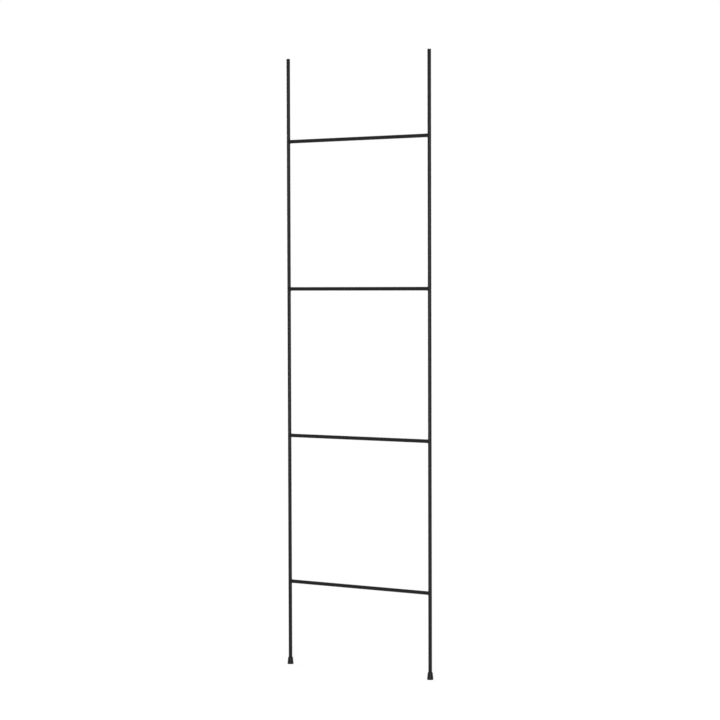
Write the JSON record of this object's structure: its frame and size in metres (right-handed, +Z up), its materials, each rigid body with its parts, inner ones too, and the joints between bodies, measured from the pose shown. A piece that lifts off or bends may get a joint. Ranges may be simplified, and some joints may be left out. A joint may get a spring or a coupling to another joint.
{
  "type": "towel ladder",
  "caption": "Tall narrow leaning ladder of slim welded tube, with round rungs to hang towels over, plugged rail tops and tapered rubber feet.",
  "frame": {"origin": "on the floor, midway between the soles of the two feet", "axes": "+X along the rungs towards the right rail, +Y to the back, towards the wall that the ladder leans on, +Z up along the rails"},
  "size_m": [0.4772, 0.0172, 1.7],
  "materials": {
    "black_powder_coat": "satin powder coat with a fine grain",
    "black_plastic": "matt moulded",
    "black_rubber": "matt moulded",
    "zinc_steel": "zinc plated"
  },
  "bodies": {
    "root": {"left_rail": "black_powder_coat", "right_rail": "black_powder_coat", "rung_1": "black_powder_coat", "rung_2": "black_powder_coat", "rung_3": "black_powder_coat", "rung_4": "black_powder_coat", "left_weld_1": "black_powder_coat", "left_weld_2": "black_powder_coat", "left_weld_3": "black_powder_coat", "left_weld_4": "black_powder_coat", "right_weld_1": "black_powder_coat", "right_weld_2": "black_powder_coat", "right_weld_3": "black_powder_coat", "right_weld_4": "black_powder_coat", "left_top_plug": "black_plastic", "right_top_plug": "black_plastic", "left_foot": "black_rubber", "right_foot": "black_rubber", "left_foot_washer": "zinc_steel", "right_foot_washer": "zinc_steel"}
  },
  "joints": []
}
